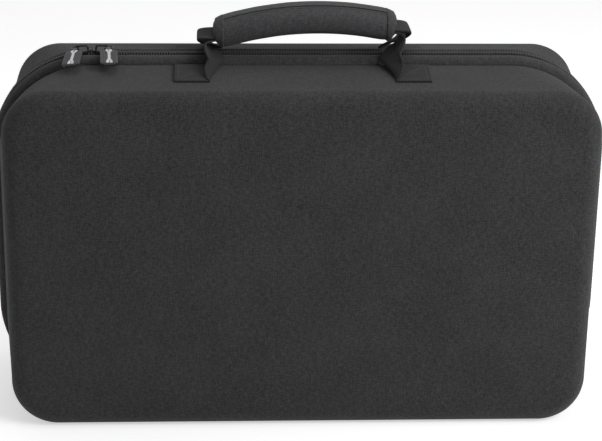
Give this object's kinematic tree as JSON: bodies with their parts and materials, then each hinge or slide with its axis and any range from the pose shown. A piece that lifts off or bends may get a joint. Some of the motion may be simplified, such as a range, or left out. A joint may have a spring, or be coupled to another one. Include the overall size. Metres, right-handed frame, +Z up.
{
  "type": "console carrying case",
  "caption": "Hard-shell carrying case for a game console, with a two-way zip, padded strap handle, foam bays and a mesh pocket.",
  "frame": {"origin": "middle of the case's footprint on the surface that it stands on", "axes": "+X along the width to the right, -Y out of the front face, +Z up; the shells part on the plane Y = 0"},
  "size_m": [0.45, 0.148, 0.3067],
  "materials": {
    "shell_cloth": "charcoal woven polyester laminated to foam board",
    "band_cloth": "the same charcoal cloth, folded and top-stitched",
    "ribbon": "black grosgrain ribbon",
    "zip_tape": "black woven zip tape",
    "zip_coil": "black nylon coil",
    "slider_metal": "black lacquered zinc",
    "link_metal": "black lacquered wire",
    "pull_metal": "satin gunmetal",
    "webbing": "black ribbed webbing",
    "grip_cloth": "charcoal woven polyester over padding",
    "hem_cloth": "charcoal binding, stitched",
    "foam": "black foam, cut",
    "keeper_cloth": "black hook-and-loop tape",
    "mesh_cloth": "black knitted mesh",
    "elastic": "black ribbed elastic"
  },
  "bodies": {
    "front_half": {"front_shell": "shell_cloth", "foam_insert": "foam", "front_ribbon": "ribbon", "front_band": "band_cloth", "front_tape": "zip_tape", "front_coil": "zip_coil", "zip_stop_left": "slider_metal", "zip_stop_right": "slider_metal", "hinge_strip": "band_cloth", "front_strap": "webbing", "grip_wrap": "grip_cloth", "hem_left": "hem_cloth", "hem_right": "hem_cloth", "keeper_loop": "keeper_cloth", "keeper_hook": "keeper_cloth"},
    "lid": {"back_shell": "shell_cloth", "back_ribbon": "ribbon", "back_band": "band_cloth", "back_tape": "zip_tape", "back_coil": "zip_coil", "back_strap": "webbing", "pocket_mesh": "mesh_cloth", "pocket_elastic": "elastic"},
    "left_slider": {"slider_left": "slider_metal", "link_left": "link_metal"},
    "right_slider": {"slider_right": "slider_metal", "link_right": "link_metal"},
    "left_pull": {"pull_left": "pull_metal"},
    "right_pull": {"pull_right": "pull_metal"}
  },
  "joints": [
    {"name": "lid_hinge", "type": "hinge", "parent": "front_half", "child": "lid", "pos_m": [0, 0, 0.0005], "axis": [-1, 0, 0], "range_deg": [0, 175], "deforming": ["back_tape", "back_coil", "back_strap", "hinge_strip"]},
    {"name": "right_slide", "type": "slide", "parent": "front_half", "child": "right_slider", "axis": [1, 0, 0], "range_m": [0, 0.288], "deforming": ["front_strap", "back_strap"]},
    {"name": "left_slide_round_corner", "type": "hinge", "parent": "front_half", "child": "left_slider", "pos_m": [-0.152, 0, 0.1955], "axis": [0, -1, 0], "range_deg": [0, 79]},
    {"name": "left_pull_swing", "type": "hinge", "parent": "left_slider", "child": "left_pull", "pos_m": [-0.16314, -0.0032, 0.27056], "axis": [-0.9962, 0, -0.0872], "range_deg": [0, 110]},
    {"name": "right_pull_swing", "type": "hinge", "parent": "right_slider", "child": "right_pull", "pos_m": [-0.1391, -0.0032, 0.27125], "axis": [-1, 0, 0], "range_deg": [0, 110]}
  ]
}
